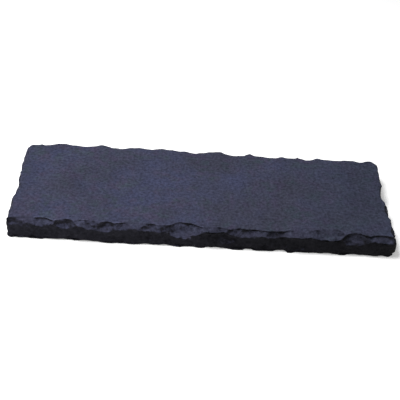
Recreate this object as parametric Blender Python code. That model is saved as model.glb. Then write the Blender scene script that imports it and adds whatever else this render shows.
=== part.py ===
"""A rock-faced basalt slab: one block of stone, flat above and below, with its four edges broken by hand.

Metres, +Z up. The slab lies on its flat underside at z = 0, centred on the origin, with its length along X.
Its front edge faces -Y. Each edge is worked in its own edge frame: X runs along the edge from its middle, Y runs
into the stone from the edge's nominal face, and Z is up.
"""

import math
import random
from collections import namedtuple

import bmesh
import bpy
from mathutils import Euler, Matrix, Vector, noise

# The block before its edges are broken. No part of the stone reaches outside it.
LENGTH = 1.000
WIDTH = 0.350
THICKNESS = 0.060

# The four upright corners, knocked round in plan.
CORNER_RADIUS = 0.025
CORNER_SEGMENTS = 4

# Rows of scars along an edge. The bite is how far a scar reaches in over the flat, the drop is how far it reaches
# down (or up) the face, and the dish is how hollow it is. All but the spacing are (least, most) pairs.
Row = namedtuple("Row", "spacing width bite drop dish")
PITCHED_TOP = Row(0.085, (0.130, 0.190), (0.006, 0.010), (0.008, 0.014), (0.0006, 0.0014))
TOP_FLAKES = Row(0.058, (0.085, 0.135), (0.008, 0.014), (0.014, 0.028), (0.0012, 0.0028))
BOTTOM_FLAKES = Row(0.070, (0.085, 0.130), (0.003, 0.006), (0.006, 0.013), (0.0006, 0.0016))

# The front's top falls away gently before it drops, and its foot is hardly broken. The back's top is pitched
# lightly, and its flakes stand apart.
FRONT_PITCHED = Row(0.075, (0.130, 0.190), (0.011, 0.018), (0.008, 0.013), (0.0004, 0.0010))
FRONT_FOOT = Row(0.070, (0.085, 0.130), (0.002, 0.004), (0.003, 0.006), (0.0004, 0.0010))
BACK_PITCHED = Row(0.085, (0.130, 0.190), (0.002, 0.004), (0.006, 0.012), (0.0004, 0.0010))

# Broad hollows in the upright faces, between the top and bottom rows.
HOLLOW_SPACING = 0.105
HOLLOW_WIDTH = (0.090, 0.150)
HOLLOW_DEPTH = (0.0015, 0.0040)
HOLLOW_MARGIN = 0.004

# The spalls that take the points off the eight corners.
SPALL_RADIUS = 0.120
BACK_TOP_SPALL_DEPTH = (0.019, 0.021)
FRONT_TOP_SPALL_DEPTH = (0.009, 0.011)
BOTTOM_SPALL_DEPTH = (0.007, 0.010)

# How far a scar may stray from its place along the edge, as a share of the spacing, and how far it may lean on its
# own face and turn in plan.
STRAY = 0.28
MOST_LEAN = math.radians(18)
MOST_TURN = math.radians(9)

# The sphere that cuts a scar: its facets, and how uneven it is.
SCAR_DETAIL = 3
LUMP_HEIGHT = 0.0020
LUMP_SIZE = 0.024
SEED = 11

FRONT, RIGHT, BACK, LEFT = range(4)

# The rows that pitch each edge at its top and at its foot.
EDGE_ROWS = {
    FRONT: (FRONT_PITCHED, FRONT_FOOT),
    RIGHT: (PITCHED_TOP, BOTTOM_FLAKES),
    BACK: (BACK_PITCHED, BOTTOM_FLAKES),
    LEFT: (PITCHED_TOP, BOTTOM_FLAKES),
}

# The flakes that stand out along the top of each edge, from its own left to its own right. Place is a share of the
# edge, from -0.5 at its left corner to 0.5 at its right one. Lean and turn are in degrees.
FRONT_FLAKES = (
    # place, width, bite, drop, dish, lean, turn
    (-0.470, 0.120, 0.014, 0.020, 0.0010, 6, 3),
    (-0.404, 0.080, 0.019, 0.021, 0.0014, -5, -6),
    (-0.347, 0.070, 0.015, 0.024, 0.0030, -12, 3),
    (-0.292, 0.086, 0.013, 0.022, 0.0012, 12, 6),
    (-0.245, 0.074, 0.014, 0.028, 0.0022, -16, 6),
    (-0.196, 0.086, 0.013, 0.025, 0.0013, 10, -6),
    (-0.142, 0.100, 0.015, 0.021, 0.0012, -10, 5),
    (-0.098, 0.074, 0.012, 0.026, 0.0014, 12, 0),
    (-0.036, 0.108, 0.027, 0.032, 0.0036, 28, -12),
    (0.034, 0.094, 0.016, 0.011, 0.0018, -4, 0),
    (0.112, 0.120, 0.016, 0.023, 0.0015, 8, -4),
    (0.180, 0.090, 0.013, 0.018, 0.0012, -10, 5),
    (0.238, 0.094, 0.024, 0.008, 0.0014, 4, -4),
    (0.318, 0.150, 0.036, 0.013, 0.0018, -4, -4),
    (0.382, 0.092, 0.020, 0.028, 0.0026, 18, 7),
    (0.462, 0.110, 0.017, 0.015, 0.0018, -8, -5),
)
RIGHT_FLAKES = (
    (-0.400, 0.076, 0.015, 0.020, 0.0022, -8, 4),
    (-0.130, 0.100, 0.019, 0.026, 0.0026, 8, -5),
    (0.035, 0.096, 0.022, 0.030, 0.0036, -6, 4),
)
BACK_FLAKES = (
    (-0.455, 0.100, 0.012, 0.020, 0.0022, 6, -3),
    (-0.364, 0.092, 0.013, 0.016, 0.0020, -8, 4),
    (-0.296, 0.080, 0.016, 0.022, 0.0026, 5, 6),
    (-0.243, 0.074, 0.012, 0.024, 0.0022, -12, -4),
    (-0.168, 0.098, 0.018, 0.020, 0.0028, 9, -6),
    (-0.094, 0.090, 0.019, 0.026, 0.0036, -6, 5),
    (0.010, 0.108, 0.015, 0.018, 0.0024, 10, 0),
    (0.080, 0.096, 0.009, 0.022, 0.0020, -9, 4),
    (0.153, 0.082, 0.008, 0.017, 0.0018, 4, -6),
    (0.248, 0.100, 0.013, 0.024, 0.0024, -12, 3),
    (0.324, 0.084, 0.012, 0.019, 0.0020, 8, 6),
    (0.386, 0.080, 0.011, 0.022, 0.0022, -5, -5),
    (0.452, 0.098, 0.015, 0.018, 0.0024, 7, 3),
)
LEFT_FLAKES = (
    (0.090, 0.130, 0.017, 0.024, 0.0026, 6, -4),
)

# Hollows low in the front face: place as above, then width, the heights of its foot and its head, and depth.
FRONT_SCOOPS = (
    (0.046, 0.096, 0.014, 0.051, 0.0060),
    (-0.225, 0.110, 0.004, 0.030, 0.0030),
    (0.240, 0.110, 0.002, 0.051, 0.0045),
)

# Longer dressing cuts through an edge's whole height, which keep its outline from being a ruled line: the edge,
# then place as above, width and depth.
DRESSING_CUTS = (
    (FRONT, -0.42, 0.260, 0.0060),
    (FRONT, 0.33, 0.260, 0.0052),
    (RIGHT, 0.12, 0.150, 0.0120),
    (RIGHT, -0.08, 0.130, 0.0070),
    (RIGHT, -0.32, 0.080, 0.0040),
    (LEFT, 0.00, 0.210, 0.0080),
)


def clear_scene():
    for obj in list(bpy.data.objects):
        bpy.data.objects.remove(obj, do_unlink=True)


def new_collection(name):
    collection = bpy.data.collections.new(name)
    bpy.context.scene.collection.children.link(collection)
    return collection


def basalt_material():
    """Dark blue-grey volcanic stone with a dull, dry surface."""
    material = bpy.data.materials.new("basalt")
    material.use_nodes = True
    shader = material.node_tree.nodes["Principled BSDF"]
    shader.inputs["Base Color"].default_value = (0.058, 0.061, 0.090, 1.0)
    shader.inputs["Roughness"].default_value = 0.82
    shader.inputs["Metallic"].default_value = 0.0
    return material


def object_from(bm, name, collection):
    mesh = bpy.data.meshes.new(name)
    bm.to_mesh(mesh)
    bm.free()
    obj = bpy.data.objects.new(name, mesh)
    collection.objects.link(obj)
    return obj


def sawn_block(name, collection):
    """The block at its full size, standing on z = 0, with its four upright corners rounded."""
    bm = bmesh.new()
    size = Matrix.Diagonal((LENGTH, WIDTH, THICKNESS, 1.0))
    bmesh.ops.create_cube(bm, size=1.0, matrix=Matrix.Translation((0.0, 0.0, THICKNESS / 2)) @ size)
    upright = [edge for edge in bm.edges if abs(edge.verts[0].co.z - edge.verts[1].co.z) > THICKNESS / 2]
    bmesh.ops.bevel(
        bm,
        geom=upright,
        offset=CORNER_RADIUS,
        offset_type="OFFSET",
        segments=CORNER_SEGMENTS,
        profile=0.5,
        affect="EDGES",
    )
    return object_from(bm, name, collection)


def edge_length(edge):
    return LENGTH if edge in (FRONT, BACK) else WIDTH


def edge_frame(edge):
    """From the edge's own frame to the stone's: the front edge turned a quarter for each edge after it."""
    half_depth = (WIDTH if edge in (FRONT, BACK) else LENGTH) / 2
    return Matrix.Rotation(edge * math.pi / 2, 4, "Z") @ Matrix.Translation((0.0, -half_depth, 0.0))


def add_lumpy_sphere(name, radius, to_stone, rng, collection):
    """A cutter: a sphere of flat facets, a little uneven, so that no two scars look alike."""
    bm = bmesh.new()
    turned = Euler([rng.uniform(0.0, math.tau) for _ in range(3)]).to_matrix().to_4x4()
    bmesh.ops.create_icosphere(bm, subdivisions=SCAR_DETAIL, radius=radius, matrix=turned)
    apart = Vector([rng.uniform(0.0, 100.0) for _ in range(3)])
    for vert in bm.verts:
        lump = noise.noise(vert.co / LUMP_SIZE + apart)
        vert.co += vert.co.normalized() * lump * LUMP_HEIGHT
    bm.transform(to_stone)
    cutter = object_from(bm, name, collection)
    cutter.hide_render = True
    cutter.display_type = "WIRE"


def add_scar(name, edge, along, width, ends, rim, dish, lean, turn, rng, collection):
    """A cutter that leaves one shell-shaped scar: part of a sphere, stretched along the edge.

    In the edge's frame the scar runs between the two points of ends, each (inward, up), and lies dish deeper than
    the straight line between them. It is as wide as width at the point rim. It leans on its own face and turns in
    plan by the two angles.
    """
    start, end = Vector(ends[0]), Vector(ends[1])
    chord = end - start
    middle = (start + end) / 2
    outward = Vector((-chord.y, chord.x)).normalized()
    if outward.x > 0:
        outward.negate()
    radius = (chord.length_squared / 4 + dish * dish) / (2 * dish)
    centre = middle + outward * (radius - dish)
    reach = math.sqrt(radius * radius - (Vector(rim) - centre).length_squared)
    to_stone = (
        edge_frame(edge)
        @ Matrix.Translation((along, middle.x, middle.y))
        @ Matrix.Rotation(turn, 4, "Z")
        @ Matrix.Translation((0.0, centre.x - middle.x, centre.y - middle.y))
        @ Matrix.Rotation(lean, 4, Vector((0.0, outward.x, outward.y)))
        @ Matrix.Diagonal((width / 2 / reach, 1.0, 1.0, 1.0))
    )
    add_lumpy_sphere(name, radius, to_stone, rng, collection)


def places_along(length, spacing, rng):
    """Places for a row of scars: even, about one spacing apart, then each moved a little."""
    count = max(2, round(length / spacing))
    step = length / count
    return [-length / 2 + step * (i + 0.5 + rng.uniform(-STRAY, STRAY)) for i in range(count)]


def add_top_scar(name, edge, along, width, bite, drop, dish, lean, turn, rng, collection):
    ends = ((bite, THICKNESS), (0.0, THICKNESS - drop))
    add_scar(name, edge, along, width, ends, (0.0, THICKNESS), dish, lean, turn, rng, collection)


def add_bottom_scar(name, edge, along, width, bite, drop, dish, lean, turn, rng, collection):
    ends = ((bite, 0.0), (0.0, drop))
    add_scar(name, edge, along, width, ends, (0.0, 0.0), dish, lean, turn, rng, collection)


def add_row(name, add_one, row, edge, rng, collection):
    """A row of scars along an edge, each with its own sizes out of the row's ranges."""
    for i, along in enumerate(places_along(edge_length(edge), row.spacing, rng)):
        sizes = [rng.uniform(*pair) for pair in (row.width, row.bite, row.drop, row.dish)]
        lean = rng.uniform(-MOST_LEAN, MOST_LEAN)
        turn = rng.uniform(-MOST_TURN, MOST_TURN)
        add_one(f"{name}_{edge}_{i}", edge, along, *sizes, lean, turn, rng, collection)


def add_chosen_flakes(name, flakes, edge, rng, collection):
    for i, (place, width, bite, drop, dish, lean, turn) in enumerate(flakes):
        along = place * edge_length(edge)
        angles = math.radians(lean), math.radians(turn)
        add_top_scar(f"{name}_{i}", edge, along, width, bite, drop, dish, *angles, rng, collection)


def add_face_hollow(name, edge, along, width, foot, head, depth, lean, rng, collection):
    """A shallow dish in the upright face, between the heights foot and head."""
    ends = ((0.0, foot), (0.0, head))
    rim = (0.0, (foot + head) / 2)
    add_scar(name, edge, along, width, ends, rim, depth, lean, 0.0, rng, collection)


def add_face_hollows(edge, rng, collection):
    for i, along in enumerate(places_along(edge_length(edge), HOLLOW_SPACING, rng)):
        width = rng.uniform(*HOLLOW_WIDTH)
        depth = rng.uniform(*HOLLOW_DEPTH)
        lean = rng.uniform(-MOST_LEAN, MOST_LEAN) / 2
        head = THICKNESS - HOLLOW_MARGIN
        add_face_hollow(f"hollow_{edge}_{i}", edge, along, width, HOLLOW_MARGIN, head, depth, lean, rng, collection)


def add_front_scoops(rng, collection):
    for i, (place, width, foot, head, depth) in enumerate(FRONT_SCOOPS):
        add_face_hollow(f"front_scoop_{i}", FRONT, place * LENGTH, width, foot, head, depth, 0.0, rng, collection)


def add_dressing_cuts(rng, collection):
    """Cut by spheres whose faces are twice as tall as the stone, so the hollow runs out above and below."""
    for i, (edge, place, width, depth) in enumerate(DRESSING_CUTS):
        foot, head = -THICKNESS / 2, THICKNESS * 3 / 2
        along = place * edge_length(edge)
        add_face_hollow(f"dressing_cut_{i}", edge, along, width, foot, head, depth, 0.0, rng, collection)


def add_corner_spalls(rng, collection):
    """A sphere takes the point off each corner: it comes in along the corner's diagonal."""
    for i in range(8):
        toward = Vector((1 if i & 1 else -1, 1 if i & 2 else -1, 1 if i & 4 else -1))
        point = Vector((toward.x * LENGTH / 2, toward.y * WIDTH / 2, THICKNESS if toward.z > 0 else 0.0))
        if toward.z < 0:
            depths = BOTTOM_SPALL_DEPTH
        else:
            depths = BACK_TOP_SPALL_DEPTH if toward.y > 0 else FRONT_TOP_SPALL_DEPTH
        depth = rng.uniform(*depths)
        to_stone = Matrix.Translation(point + toward.normalized() * (SPALL_RADIUS - depth))
        add_lumpy_sphere(f"spall_{i}", SPALL_RADIUS, to_stone, rng, collection)


def main():
    clear_scene()
    stone = new_collection("rock_faced_slab")
    cutters = new_collection("cutters")
    cutters.hide_render = True
    slab = sawn_block("basalt_slab", stone)
    slab.data.materials.append(basalt_material())

    rng = random.Random(SEED)
    for edge in (FRONT, RIGHT, BACK, LEFT):
        top, foot = EDGE_ROWS[edge]
        add_row("pitched", add_top_scar, top, edge, rng, cutters)
        add_row("bottom_flake", add_bottom_scar, foot, edge, rng, cutters)
        add_face_hollows(edge, rng, cutters)
    for edge in (RIGHT, LEFT):
        add_row("top_flake", add_top_scar, TOP_FLAKES, edge, rng, cutters)
    add_chosen_flakes("front_flake", FRONT_FLAKES, FRONT, rng, cutters)
    add_chosen_flakes("right_flake", RIGHT_FLAKES, RIGHT, rng, cutters)
    add_chosen_flakes("back_flake", BACK_FLAKES, BACK, rng, cutters)
    add_chosen_flakes("left_flake", LEFT_FLAKES, LEFT, rng, cutters)
    add_front_scoops(rng, cutters)
    add_dressing_cuts(rng, cutters)
    add_corner_spalls(rng, cutters)

    cut = slab.modifiers.new("broken_edges", "BOOLEAN")
    cut.operation = "DIFFERENCE"
    cut.solver = "EXACT"
    cut.operand_type = "COLLECTION"
    cut.collection = cutters


main()
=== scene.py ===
"""The rock-faced basalt slab as it looks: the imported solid's surface refined into broken stone.

Metres, +Z up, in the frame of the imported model. The visible stone starts as a copy of the CAD
solid. Its facets are evened out, chips and grain are cut into it, and it never leaves the solid's
box.
"""

import itertools
import math

import bmesh
import bpy
import numpy as np
from mathutils import Matrix, Vector


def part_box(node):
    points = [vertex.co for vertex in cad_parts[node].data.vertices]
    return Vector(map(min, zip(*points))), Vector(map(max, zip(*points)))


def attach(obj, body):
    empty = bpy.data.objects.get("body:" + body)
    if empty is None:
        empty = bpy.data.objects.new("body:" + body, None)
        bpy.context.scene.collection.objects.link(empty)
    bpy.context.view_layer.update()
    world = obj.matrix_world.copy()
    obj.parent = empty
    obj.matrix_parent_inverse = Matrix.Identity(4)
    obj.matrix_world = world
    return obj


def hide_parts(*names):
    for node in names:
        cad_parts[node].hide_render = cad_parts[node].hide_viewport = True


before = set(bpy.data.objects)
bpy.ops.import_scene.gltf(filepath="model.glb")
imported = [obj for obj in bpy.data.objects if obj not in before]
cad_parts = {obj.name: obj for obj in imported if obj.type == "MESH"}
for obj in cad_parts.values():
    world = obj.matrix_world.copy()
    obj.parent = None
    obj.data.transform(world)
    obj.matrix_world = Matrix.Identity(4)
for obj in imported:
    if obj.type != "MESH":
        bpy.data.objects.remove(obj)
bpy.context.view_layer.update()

CAD_NODE = "basalt_slab"
LOW, HIGH = (np.array(corner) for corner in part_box(CAD_NODE))
LENGTH, WIDTH, THICKNESS = HIGH - LOW

# The mesh: how fine the stone is cut before it is thinned, and how many triangles it keeps.
VOXEL = 0.0017
MOST_TRIANGLES = 190_000
WELD = 1e-5

# Smoothing that keeps ridges: two faces whose normals lie further apart than about RIDGE_CHORD are
# left to meet in a ridge.
RIDGE_CHORD = 0.20
FACING_STEPS = 10
POINT_STEPS = 10

# The skin of the flat top and underside, within which the stone counts as dressed and not broken.
# The material also takes it for dressed where a normal's upward part is above the second number of
# LEVEL, and for broken where it is below the first.
DRESSED_SKIN = 0.0012
LEVEL = (0.86, 0.985)

# The relief of the flats: each a size, a height and a seed. It fades out over DRESSED_FADE down the
# broken edges.
SWELL = (0.16, 0.00030, 70)
WAVES = (0.035, 0.00028, 75)
PITTING = (0.012, 0.00016, 72)
DRESSED_FADE = 0.008

# How far the rims of the scars stray, over what length, and a seed for each axis.
STRAY = 0.0032
STRAY_LENGTH = 0.030
STRAY_SEEDS = (40, 45, 50)

# The chips and the grain of the broken edges: each a size, a depth and a seed. The rims of the
# broad chips bend: the size of the bends, their reach as a share of a chip, and a seed.
BROAD_CHIPS = (0.030, 0.0036, 61)
DRAWN_CHIPS = (0.011, 0.0022, 62)
FINE_CHIPS = (0.0065, 0.0009, 67)
GRAIN = (0.011, 0.0007, 63)
RIM_BENDS = (0.020, 0.2, 60)

# The drawn-out chips lie along the slab: its length is scaled by STROKE before they are laid out,
# they climb to the right by STROKE_RISE of it, and a proud ridge deepens them by RIDGE_BITE.
STROKE = 0.38
STROKE_RISE = 0.20
RIDGE_BITE = 0.0018

# How many edges out a ridge or a crease is measured, and how high the proudest is.
PROUD_REACH = 3
MOST_PROUD = 0.0008

# How many times the ridges are worn down, and the size and the seed of the worn patches.
WEAR_STEPS = 22
WORN_PATCHES = (0.045, 66)

# The stone's colours: the top and slopes, with teal and painted shade at the right end, then the
# painted shade of steep and downward faces at the two ends.
BLUE = (0.0342, 0.0384, 0.0716, 1)
GREY = (0.0385, 0.0404, 0.0622, 1)
VIOLET = (0.0408, 0.0382, 0.0660, 1)
GREEN = (0.0340, 0.0425, 0.0595, 1)
# Teal, and darker as painted shade, towards the right end, where the lamp's light falls off.
TEAL_WITH_SHADE = (0.0285, 0.0360, 0.0590, 1)
SLOPE_BLUE = (0.0355, 0.0365, 0.0600, 1)
# Painted shade: the dark colours of the steep and downward faces at the left and the right end.
SIDE_SHADE_LEFT = (0.0150, 0.0148, 0.0204, 1)
SIDE_SHADE_RIGHT = (0.0067, 0.0066, 0.0079, 1)

# How far apart the small gas holes of the stone are, painted dark as shade in holes the mesh lacks.
PIT_SPACING = 0.045

# The studio: a wide floor, one soft lamp high up on the left, an even sky and the camera, whose
# angles are in degrees.
FLOOR_SIZE = 30.0
FLOOR_WHITE = (0.90, 0.90, 0.90, 1)
FLOOR_GLOW = 0.28
LAMP_PLACE = (-0.85, 0.05, 2.35)
LAMP_SIZE = 1.2
LAMP_POWER = 76.0
SKY_STRENGTH = 0.30
CAMERA_PLACE = (-0.0737, -1.7141, 1.3813)
CAMERA_TURN = 2.23
CAMERA_DIP = 38.49
CAMERA_TIP = 4.57
SENSOR_WIDTH = 36.0
LENS = 73.21

# The map that the materials are baked into: its name, and the gap between the charts.
UV_MAP = "OFBake"
UV_GAP = 0.008

# What brings the gradient noise to about -1 to 1.
NOISE_GAIN = 1.6


# ---------------------------------------------------------------- numbers


def random_directions(rng, count):
    directions = rng.normal(size=(count, 3))
    return directions / np.linalg.norm(directions, axis=1, keepdims=True)


def hashed(order, cell):
    """A number from 0 to 255 for each whole-numbered cell."""
    first = order[cell[:, 0] & 255]
    second = order[(first + cell[:, 1]) & 255]
    return order[(second + cell[:, 2]) & 255]


def noise(points, size, seed):
    """Gradient noise at each point, about -1 to 1, with lumps of about the given size."""
    rng = np.random.default_rng(seed)
    order = rng.permutation(256)
    directions = random_directions(rng, 256)
    scaled = points / size + rng.uniform(0, 64, 3)
    cell = np.floor(scaled).astype(np.int64)
    inside = scaled - cell
    fade = inside**3 * (inside * (inside * 6 - 15) + 10)
    total = np.zeros(len(points))
    for corner in itertools.product((0, 1), repeat=3):
        offset = inside - corner
        value = (directions[hashed(order, cell + corner)] * offset).sum(axis=1)
        total += np.where(corner, fade, 1 - fade).prod(axis=1) * value
    return total * NOISE_GAIN


def layered_noise(points, size, seed, layers, loss=0.5):
    """Noise with finer noise on it: each layer has half the size and loss times the strength."""
    total = np.zeros(len(points))
    for layer in range(layers):
        total += noise(points, size / 2**layer, seed + layer) * loss**layer
    return total


def chips(points, size, seed):
    """How deep chips cut at each point, 0 to 1: rounded hollows of uneven depth with sharp rims."""
    rng = np.random.default_rng(seed)
    order = rng.permutation(256)
    places = rng.uniform(0.1, 0.9, (256, 3))
    depths = rng.uniform(0.25, 1.0, 256)
    scaled = points / size + rng.uniform(0, 64, 3)
    cell = np.floor(scaled).astype(np.int64)
    deepest = np.zeros(len(points))
    for step in itertools.product((-1, 0, 1), repeat=3):
        near = cell + step
        chosen = hashed(order, near)
        apart = np.square(near + places[chosen] - scaled).sum(axis=1)
        deepest = np.maximum(deepest, depths[chosen] * (1 - apart))
    return deepest


def ramp(values, low, high):
    """0 below low, 1 above high, and smooth between."""
    share = np.clip((values - low) / (high - low), 0, 1)
    return share * share * (3 - 2 * share)


# ---------------------------------------------------------------- meshes


def points_of(mesh):
    points = np.empty(len(mesh.vertices) * 3, np.float32)
    mesh.vertices.foreach_get("co", points)
    return points.reshape(-1, 3).astype(float)


def set_points(mesh, points):
    mesh.vertices.foreach_set("co", points.astype(np.float32).ravel())
    mesh.update()


def normals_of(mesh):
    normals = np.empty(len(mesh.vertices) * 3, np.float32)
    mesh.vertex_normals.foreach_get("vector", normals)
    return normals.reshape(-1, 3).astype(float)


def edges_of(mesh):
    ends = np.empty(len(mesh.edges) * 2, np.int32)
    mesh.edges.foreach_get("vertices", ends)
    return ends.reshape(-1, 2)


def facing_of(mesh):
    facing = np.empty(len(mesh.polygons) * 3, np.float32)
    mesh.polygons.foreach_get("normal", facing)
    return facing.reshape(-1, 3).astype(float)


def corners_of(mesh):
    """For each corner of each face: its vertex, its edge and its face."""
    vertex, edge = np.empty(len(mesh.loops), np.int32), np.empty(len(mesh.loops), np.int32)
    mesh.loops.foreach_get("vertex_index", vertex)
    mesh.loops.foreach_get("edge_index", edge)
    sizes = np.empty(len(mesh.polygons), np.int32)
    mesh.polygons.foreach_get("loop_total", sizes)
    return vertex, edge, np.repeat(np.arange(len(sizes)), sizes)


def sum_by(keys, rows, count):
    """Adds up the rows of a (row, column) array that have the same key."""
    return np.stack([np.bincount(keys, column, count) for column in rows.T], axis=1)


def average_of_neighbours(ends, values):
    """For each row of a (vertex, column) array, the average over the vertices one edge away."""
    here = np.concatenate((ends[:, 0], ends[:, 1]))
    there = np.concatenate((ends[:, 1], ends[:, 0]))
    shared = np.bincount(here, minlength=len(values))[:, None]
    return sum_by(here, values[there], len(values)) / np.maximum(shared, 1)


def with_modifier(obj, kind, **settings):
    """Applies one modifier to a mesh object."""
    modifier = obj.modifiers.new(kind.lower(), kind)
    for name, value in settings.items():
        setattr(modifier, name, value)
    depsgraph = bpy.context.evaluated_depsgraph_get()
    made = bpy.data.meshes.new_from_object(obj.evaluated_get(depsgraph))
    obj.modifiers.clear()
    old = obj.data
    obj.data = made
    bpy.data.meshes.remove(old)


def copy_of_solid(name):
    """A new object with the CAD solid's surface, welded into one closed mesh."""
    bm = bmesh.new()
    bm.from_mesh(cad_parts[CAD_NODE].data)
    bmesh.ops.remove_doubles(bm, verts=bm.verts, dist=WELD)
    mesh = bpy.data.meshes.new(name)
    bm.to_mesh(mesh)
    bm.free()
    obj = bpy.data.objects.new(name, mesh)
    bpy.context.scene.collection.objects.link(obj)
    return obj


def smooth_between_ridges(mesh, rounds):
    """Evens out facets and voxel steps, and leaves a crisp ridge where two scars meet.

    Each face turns towards the way its neighbours face, unless they differ by a ridge. The points
    then move to fit.
    """
    vertex, edge, face = corners_of(mesh)
    by_edge = np.argsort(edge, kind="stable")
    same = edge[by_edge][1:] == edge[by_edge][:-1]
    one, other = face[by_edge][:-1][same], face[by_edge][1:][same]
    here, there = np.concatenate((one, other)), np.concatenate((other, one))
    corners_of_face = np.bincount(face)[:, None]
    corners_of_vertex = np.bincount(vertex)[:, None]
    for _ in range(rounds):
        facing = facing_of(mesh)
        for _ in range(FACING_STEPS):
            apart = np.square(facing[here] - facing[there]).sum(axis=1)
            alike = np.exp(-apart / (2 * RIDGE_CHORD**2))[:, None]
            facing += sum_by(here, facing[there] * alike, len(facing))
            facing /= np.linalg.norm(facing, axis=1, keepdims=True)
        points = points_of(mesh)
        facing_here = facing[face]
        for _ in range(POINT_STEPS):
            middles = sum_by(face, points[vertex], len(facing)) / corners_of_face
            gap = ((middles[face] - points[vertex]) * facing_here).sum(axis=1)[:, None]
            points += sum_by(vertex, facing_here * gap, len(points)) / corners_of_vertex
        set_points(mesh, points)


def keep_in_box(points):
    return np.clip(points, LOW, HIGH)


# ---------------------------------------------------------------- the stone


def brokenness(points):
    """0 on the dressed top and underside, 1 on the broken edges."""
    from_flats = np.minimum(HIGH[2] - points[:, 2], points[:, 2] - LOW[2])
    return ramp(from_flats, 0.15 * DRESSED_SKIN, DRESSED_SKIN)


def stray_rims(points, broken):
    """Moves the surface a little, the flats only sideways, so that no rim stays ruled or round."""
    moved = points.copy()
    for axis, seed in enumerate(STRAY_SEEDS):
        shift = layered_noise(points, STRAY_LENGTH, seed, 3)
        moved[:, axis] += STRAY * shift * (broken if axis == 2 else 1.0)
    return moved


def proudness(points, normals, ends):
    """How far each point stands out from those around: above 0 on a ridge, below in a crease."""
    around = points
    for _ in range(PROUD_REACH):
        around = average_of_neighbours(ends, around)
    return average_of_neighbours(ends, ((points - around) * normals).sum(axis=1)[:, None])[:, 0]


def break_surface(points, normals, broken, ends):
    """Cuts chips and grain into the broken edges, deeper where a ridge stands proud."""
    ridge = ramp(proudness(points, normals, ends), 0.1 * MOST_PROUD, 0.6 * MOST_PROUD)
    ridge = average_of_neighbours(ends, average_of_neighbours(ends, ridge[:, None]))[:, 0]
    size, deepest, seed = BROAD_CHIPS
    bend_size, bend, bend_seed = RIM_BENDS
    bent = points + bend * size * noise(points, bend_size, bend_seed)[:, None]
    depth = deepest * chips(bent, size, seed)
    size, deepest, seed = DRAWN_CHIPS
    drawn_out = points * (STROKE, 1.0, 1.0) + points[:, :1] * (0.0, 0.0, STROKE_RISE)
    depth += (deepest + RIDGE_BITE * ridge) * chips(drawn_out, size, seed)
    size, deepest, seed = FINE_CHIPS
    depth += deepest * chips(points, size, seed)
    size, deepest, seed = GRAIN
    depth += deepest * (layered_noise(points, size, seed, 3, 0.6) + 0.6)
    return points - normals * (depth * broken)[:, None]


def wear_rims(mesh):
    """Rounds the ridges off in patches, as handling does, and leaves them sharp between."""
    ends = edges_of(mesh)
    points = points_of(mesh)
    worn = ramp(noise(points, *WORN_PATCHES), -0.20, 0.20)[:, None]
    worn *= ramp(proudness(points, normals_of(mesh), ends), 0.0, 0.4 * MOST_PROUD)[:, None]
    worn = average_of_neighbours(ends, worn)
    for _ in range(WEAR_STEPS):
        points += worn * (average_of_neighbours(ends, points) - points)
    set_points(mesh, points)


def dress_flats(points):
    """Gives the two flats a slight swell, low waves and a fine pitting, always inwards."""
    size, height, seed = SWELL
    depth = height * (1 + layered_noise(points, size, seed, 2))
    size, height, seed = WAVES
    depth += height * (1 + noise(points, size, seed))
    size, height, seed = PITTING
    depth += height * (1 + layered_noise(points, size, seed, 3, 0.7))
    up = points[:, 2]
    moved = points.copy()
    moved[:, 2] -= depth * ramp(up, HIGH[2] - DRESSED_FADE, HIGH[2] - DRESSED_SKIN)
    moved[:, 2] += depth * ramp(-up, -LOW[2] - DRESSED_FADE, -LOW[2] - DRESSED_SKIN)
    return moved


def mark_edges(mesh):
    """Stores three values from 0 to 1 for the material.

    How broken each vertex is, how far it stands proud of its neighbours (0.5 is level, less is
    hollow), and how much it faces up.
    """
    points = points_of(mesh)
    normals = normals_of(mesh)
    ends = edges_of(mesh)
    proud = proudness(points, normals, ends)
    upward = average_of_neighbours(ends, average_of_neighbours(ends, normals[:, 2:]))
    values = {
        "broken": brokenness(points) * ramp(-normals[:, 2], -LEVEL[1], -LEVEL[0]),
        "proud": np.clip(proud / MOST_PROUD, -1, 1) * 0.5 + 0.5,
        "upward": np.clip(upward[:, 0], 0, 1),
    }
    for name, value in values.items():
        attribute = mesh.attributes.new(name, "FLOAT", "POINT")
        attribute.data.foreach_set("value", value.astype(np.float32))


def unwrap(mesh):
    """Lays the surface out as six views of the block, so that a bake spends its pixels evenly.

    Top and underside, then front and back, lie above each other, and the two ends share the last
    strip.
    """
    vertex, _, face = corners_of(mesh)
    facing = facing_of(mesh)
    axis = np.abs(facing).argmax(axis=1)
    towards = np.take_along_axis(facing, axis[:, None], axis=1)[:, 0] > 0
    chart = (axis * 2 + towards)[face]
    from_low = points_of(mesh)[vertex] - LOW
    rows = {5: 0.0, 4: WIDTH + UV_GAP, 2: 2 * (WIDTH + UV_GAP)}
    rows[3] = rows[2] + THICKNESS + UV_GAP
    rows[0] = rows[1] = rows[3] + THICKNESS + UV_GAP
    places = np.empty((len(vertex), 2))
    for side, foot in rows.items():
        across, up = ((1, 2), (0, 2), (0, 1))[side // 2]
        here = chart == side
        places[here, 0] = from_low[here, across] + (WIDTH + UV_GAP if side == 1 else 0.0)
        places[here, 1] = from_low[here, up] + foot
    tall = rows[0] + THICKNESS
    places = UV_GAP / 2 + places * (1 - UV_GAP) / max(LENGTH, tall)
    layer = mesh.uv_layers.new(name=UV_MAP)
    layer.data.foreach_set("uv", places.astype(np.float32).ravel())


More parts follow.
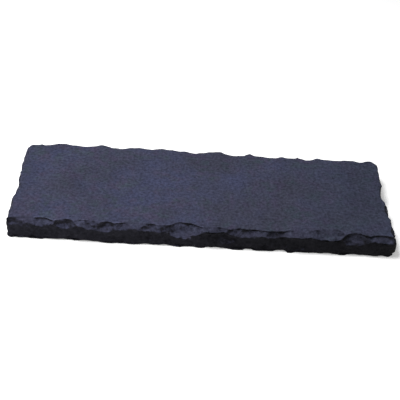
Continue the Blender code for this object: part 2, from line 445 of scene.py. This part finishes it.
def make_stone():
    stone = copy_of_solid("stone")
    with_modifier(stone, "REMESH", mode="VOXEL", voxel_size=VOXEL, adaptivity=0.0)
    smooth_between_ridges(stone.data, 3)
    points = points_of(stone.data)
    set_points(stone.data, keep_in_box(stray_rims(points, brokenness(points))))
    smooth_between_ridges(stone.data, 1)
    points = points_of(stone.data)
    broken = brokenness(points)
    points = break_surface(points, normals_of(stone.data), broken, edges_of(stone.data))
    points = dress_flats(points)
    set_points(stone.data, points)
    wear_rims(stone.data)
    set_points(stone.data, keep_in_box(points_of(stone.data)))
    triangles = sum(len(face.vertices) - 2 for face in stone.data.polygons)
    if triangles > MOST_TRIANGLES:
        share = MOST_TRIANGLES / triangles
        with_modifier(stone, "DECIMATE", decimate_type="COLLAPSE", ratio=share)
    set_points(stone.data, keep_in_box(points_of(stone.data)))
    mark_edges(stone.data)
    unwrap(stone.data)
    stone.data.shade_smooth()
    return stone


# ---------------------------------------------------------------- materials


class Nodes:
    """Short names for building a node tree."""

    def __init__(self, material):
        material.use_nodes = True
        self.tree = material.node_tree
        self.shader = self.tree.nodes["Principled BSDF"]
        self.place = self.tree.nodes.new("ShaderNodeTexCoord").outputs["Object"]

    def add(self, kind, inputs=None, **settings):
        node = self.tree.nodes.new(kind)
        for name, value in settings.items():
            setattr(node, name, value)
        for name, value in (inputs or {}).items():
            self.give(node.inputs[name], value)
        return node

    def give(self, socket, value):
        if isinstance(value, bpy.types.NodeSocket):
            self.tree.links.new(value, socket)
        else:
            socket.default_value = value

    def noise(self, size, detail=2.0, roughness=0.5, warp=0.0):
        """Noise with lumps of about size metres, from 0 to 1."""
        inputs = {"Vector": self.place, "Scale": 1 / size, "Detail": detail, "Roughness": roughness}
        return self.add("ShaderNodeTexNoise", {**inputs, "Distortion": warp}).outputs["Fac"]

    def range(self, value, low, high, to_low=0.0, to_high=1.0):
        inputs = {"Value": value, "From Min": low, "From Max": high}
        inputs |= {"To Min": to_low, "To Max": to_high}
        return self.add("ShaderNodeMapRange", inputs).outputs["Result"]

    def maths(self, operation, a, b):
        return self.add("ShaderNodeMath", {0: a, 1: b}, operation=operation).outputs["Value"]

    def mix(self, share, a, b, blend="MIX"):
        node = self.add("ShaderNodeMix", data_type="RGBA", blend_type=blend)
        for name, value in (("Factor_Float", share), ("A_Color", a), ("B_Color", b)):
            self.give(next(socket for socket in node.inputs if socket.identifier == name), value)
        return next(socket for socket in node.outputs if socket.identifier == "Result_Color")

    def attribute(self, name):
        return self.add("ShaderNodeAttribute", attribute_name=name).outputs["Fac"]


def basalt_colour(n, broken):
    """Blue with grey, violet and green patches, and teal at the right; painted shade there and
    where steep.
    """
    along = n.add("ShaderNodeSeparateXYZ", {"Vector": n.place}).outputs["X"]
    greyer = n.range(along, LOW[0], HIGH[0], -0.05, 0.03)
    greyness = n.maths("ADD", n.noise(0.14, 4, 0.65), greyer)
    colour = n.mix(n.range(greyness, 0.36, 0.62), BLUE, GREY)
    colour = n.mix(n.range(n.noise(0.040, 3, 0.6), 0.48, 0.64), colour, VIOLET)
    colour = n.mix(n.range(n.noise(0.036, 3, 0.6, 0.3), 0.52, 0.70), colour, GREEN)
    # Teal towards the right end, and darker there as painted shade where the lamp's light falls
    # off.
    colour = n.mix(n.range(along, 0.4 * HIGH[0], HIGH[0], 0.0, 0.5), colour, TEAL_WITH_SHADE)
    colour = n.mix(n.maths("MULTIPLY", broken, 0.75), colour, SLOPE_BLUE)
    # Painted shade: faces turn dark the less they face up, and more so towards the right, away from
    # the lamp.
    side_shade = n.mix(n.range(along, LOW[0], HIGH[0]), SIDE_SHADE_LEFT, SIDE_SHADE_RIGHT)
    raggedness = n.range(n.noise(0.014, 4, 0.65), 0.3, 0.7, -0.28, 0.28)
    uneven = n.maths("ADD", n.attribute("upward"), raggedness)
    side_shade_share = n.range(uneven, 0.32, n.range(along, 0.0, HIGH[0], 0.60, 1.0), 1.0, 0.0)
    return n.mix(side_shade_share, colour, side_shade)


def basalt_tone(n, broken):
    """What the colour is multiplied by: clouds, grain, painted shade in creases and holes, and
    painted highlights on ridges.
    """
    proud = n.attribute("proud")
    cloudy = n.range(n.noise(0.13, 5, 0.65), 0.32, 0.68, 1.17, 0.84)
    darkest = n.range(broken, 0, 1, 0.61, 0.70)
    grain = n.range(n.noise(0.0075, 4, 0.72), 0.34, 0.66, darkest, 1.38)
    tone = n.maths("MULTIPLY", cloudy, grain)
    # Painted shade in hollows and creases, in patches.
    crease = n.range(n.noise(0.060, 2), 0.40, 0.60, 0.90, 0.25)
    tone = n.maths("MULTIPLY", tone, n.range(proud, 0.05, 0.45, crease, 1.0))
    # Painted shade: small dark spots for gas holes that the mesh doesn't have.
    pit = n.add("ShaderNodeTexVoronoi", {"Vector": n.place, "Scale": 1 / PIT_SPACING})
    tone = n.maths("MULTIPLY", tone, n.range(pit.outputs["Distance"], 0.03, 0.06, 0.55, 1.0))
    # Painted highlight: proud ridges of the broken edges turn up to twice as pale.
    ridge_highlight = n.range(broken, 0, 1, 1.0, 2.0)
    return n.maths("MULTIPLY", tone, n.range(proud, 0.6, 1.0, 1.0, ridge_highlight))


def basalt_relief(n, broken):
    """Grain too fine for the mesh, and a ruggedness on the broken edges."""
    fine = n.maths("MULTIPLY", n.noise(0.0016, 3, 0.7), 0.3)
    coarse = n.maths("MULTIPLY", n.noise(0.0065, 4, 0.65), 0.7)
    rugged = n.maths("MULTIPLY", n.noise(0.013, 4, 0.6), n.range(broken, 0, 1, 0.0, 3.0))
    height = n.maths("ADD", n.maths("ADD", coarse, fine), rugged)
    bump = n.add("ShaderNodeBump", {"Strength": 0.6, "Distance": 0.0012, "Height": height})
    return bump.outputs["Normal"]


def basalt_material():
    """Dull blue-grey basalt, with painted shade where it is hollow or faces sideways or down."""
    material = bpy.data.materials.new("basalt")
    n = Nodes(material)
    broken = n.attribute("broken")
    tone = basalt_tone(n, broken)
    shade = n.add("ShaderNodeCombineColor", {i: tone for i in range(3)}).outputs["Color"]
    colour = n.mix(1.0, basalt_colour(n, broken), shade, "MULTIPLY")
    n.give(n.shader.inputs["Base Color"], colour)
    n.give(n.shader.inputs["Roughness"], n.range(n.noise(0.006, 3, 0.6), 0.3, 0.7, 0.78, 0.96))
    n.shader.inputs["Specular IOR Level"].default_value = 0.05
    n.give(n.shader.inputs["Normal"], basalt_relief(n, broken))
    return material


def floor_material():
    """Matt white, with a faint glow that keeps the far floor and the shadows pale."""
    material = bpy.data.materials.new("pale_floor")
    n = Nodes(material)
    n.shader.inputs["Base Color"].default_value = FLOOR_WHITE
    n.shader.inputs["Roughness"].default_value = 0.9
    n.shader.inputs["Emission Color"].default_value = (1, 1, 1, 1)
    n.shader.inputs["Emission Strength"].default_value = FLOOR_GLOW
    return material


# ---------------------------------------------------------------- the studio


def make_floor():
    bpy.ops.mesh.primitive_plane_add(size=FLOOR_SIZE)
    floor = bpy.context.object
    floor.name = "floor"
    floor.data.materials.append(floor_material())
    return floor


def make_lamp():
    """A soft round lamp that points at the middle of the slab's underside."""
    data = bpy.data.lights.new("overhead", "AREA")
    data.shape = "DISK"
    data.size = LAMP_SIZE
    data.energy = LAMP_POWER
    lamp = bpy.data.objects.new("overhead", data)
    lamp.location = LAMP_PLACE
    lamp.rotation_euler = (-Vector(LAMP_PLACE)).to_track_quat("-Z", "Y").to_euler()
    bpy.context.scene.collection.objects.link(lamp)


def make_world():
    world = bpy.data.worlds.new("studio")
    world.use_nodes = True
    background = world.node_tree.nodes["Background"]
    background.inputs["Color"].default_value = (1, 1, 1, 1)
    background.inputs["Strength"].default_value = SKY_STRENGTH
    bpy.context.scene.world = world


def make_camera():
    """In front, above and a little left, tipped over so that the slab falls away to the right."""
    turn, dip, tip = math.radians(CAMERA_TURN), math.radians(CAMERA_DIP), math.radians(CAMERA_TIP)
    data = bpy.data.cameras.new("camera")
    data.sensor_width = SENSOR_WIDTH
    data.lens = LENS
    camera = bpy.data.objects.new("camera", data)
    looking = Matrix.Rotation(-turn, 4, "Z") @ Matrix.Rotation(math.pi / 2 - dip, 4, "X")
    tipped = Matrix.Rotation(tip, 4, "Z")
    camera.matrix_world = Matrix.Translation(CAMERA_PLACE) @ looking @ tipped
    bpy.context.scene.collection.objects.link(camera)
    bpy.context.scene.camera = camera


make_camera()
stone = make_stone()
stone.data.materials.append(basalt_material())
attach(stone, "root")
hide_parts(CAD_NODE)
make_floor()
make_lamp()
make_world()
bpy.context.scene.view_settings.view_transform = "Standard"
